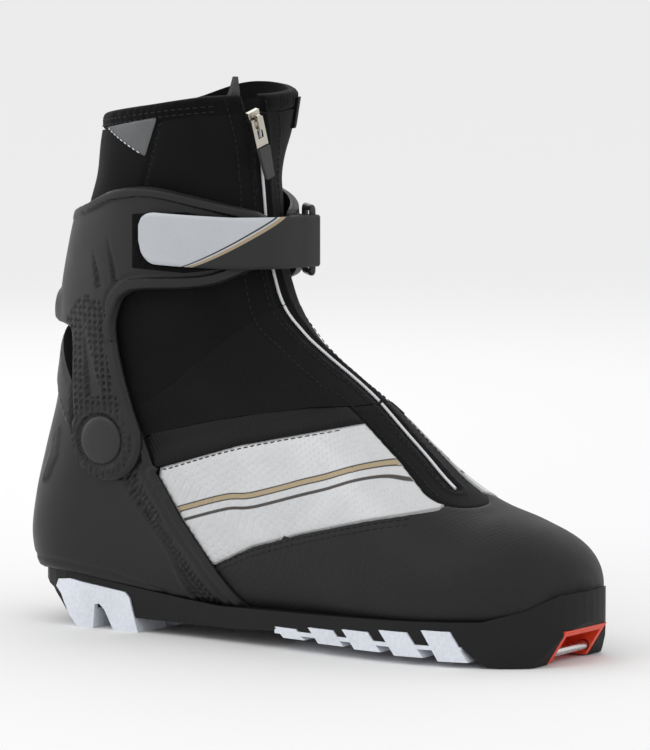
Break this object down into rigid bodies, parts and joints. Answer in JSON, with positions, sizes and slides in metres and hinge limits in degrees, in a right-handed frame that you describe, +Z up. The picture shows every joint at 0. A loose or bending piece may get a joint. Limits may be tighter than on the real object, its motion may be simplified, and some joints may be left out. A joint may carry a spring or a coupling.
{
  "type": "cross country ski boot",
  "caption": "Right cross country skating boot with a hinged cuff, ankle strap, zipped cover, grip treads and a toe bar for a ski binding.",
  "frame": {"origin": "on the ground under the cuff pivots, on the centre rib of the heel tread", "axes": "+X to the toe, +Y to the inner (medial) side, +Z up"},
  "size_m": [0.2859, 0.0951, 0.25],
  "materials": {
    "rubber_sole": "matte moulded rubber",
    "tread": "white moulded grip rubber",
    "insert": "red moulded plastic",
    "steel": "ground steel bar",
    "board": "fibre board",
    "foam": "cloth-covered foam",
    "knit": "fine black softshell",
    "coated": "matte charcoal coated cloth",
    "silver": "silver coated cloth with a fine dot emboss",
    "zip": "bright coil",
    "counter": "smooth satin plastic",
    "cuff": "matte dark grey plastic",
    "felt": "hook-and-loop felt and webbing",
    "grey": "dark grey rubber",
    "nickel": "polished nickel",
    "reflect": "grey reflective film",
    "strap": "brushed silver-grey strap cloth"
  },
  "bodies": {
    "boot": {"outsole": "rubber_sole", "heel_tread": "tread", "forefoot_tread_lateral": "tread", "forefoot_tread_medial": "tread", "toe_insert": "insert", "toe_bar": "steel", "lasting_board": "board", "footbed": "foam", "heel_quarter": "knit", "vamp": "coated", "quarter_lateral": "silver", "quarter_medial": "silver", "ankle_band_lateral": "coated", "ankle_band_medial": "coated", "zip_placket": "knit", "zip_teeth_lower": "zip", "liner": "foam", "tongue": "foam", "heel_counter": "counter", "pivot_lateral": "cuff", "pivot_medial": "cuff", "ankle_gaiter": "knit"},
    "cuff": {"cuff_shell": "cuff", "collar_lateral": "knit", "collar_medial": "knit", "collar_binding": "felt", "zip_tape_upper": "knit", "zip_teeth_upper": "zip", "reflective_patch": "reflect", "pull_tab_medial": "felt", "pull_tab_lateral": "grey", "hook_pad": "felt", "ring_anchor": "felt"},
    "ring": {"strap_ring": "cuff"},
    "strap": {"strap": "strap"},
    "slider": {"zip_slider": "nickel"},
    "puller": {"zip_puller": "nickel", "puller_tab": "grey"}
  },
  "joints": [
    {"name": "cuff_flex", "type": "hinge", "parent": "boot", "child": "cuff", "pos_m": [0, 0, 0.087], "axis": [0, 1, 0], "range_deg": [-5, 15], "stiffness_Nm_per_rad": 3, "deforming": ["ankle_gaiter"]},
    {"name": "ring_swing", "type": "hinge", "parent": "cuff", "child": "ring", "pos_m": [0.06518, 0.02323, 0.1765], "axis": [0, 0, 1], "range_deg": [0, 20]},
    {"name": "strap_open", "type": "hinge", "parent": "ring", "child": "strap", "pos_m": [0.07819, 0.00974, 0.1765], "axis": [0, 0, 1], "range_deg": [0, 150]},
    {"name": "zip_slide", "type": "slide", "parent": "cuff", "child": "slider", "axis": [-0.0421, 0.4011, -0.9151], "range_m": [0, 0.018]},
    {"name": "puller_flip", "type": "hinge", "parent": "slider", "child": "puller", "pos_m": [0.06721, -0.01799, 0.2311], "axis": [-0.3069, -0.8768, -0.3702], "range_deg": [0, 140]}
  ]
}
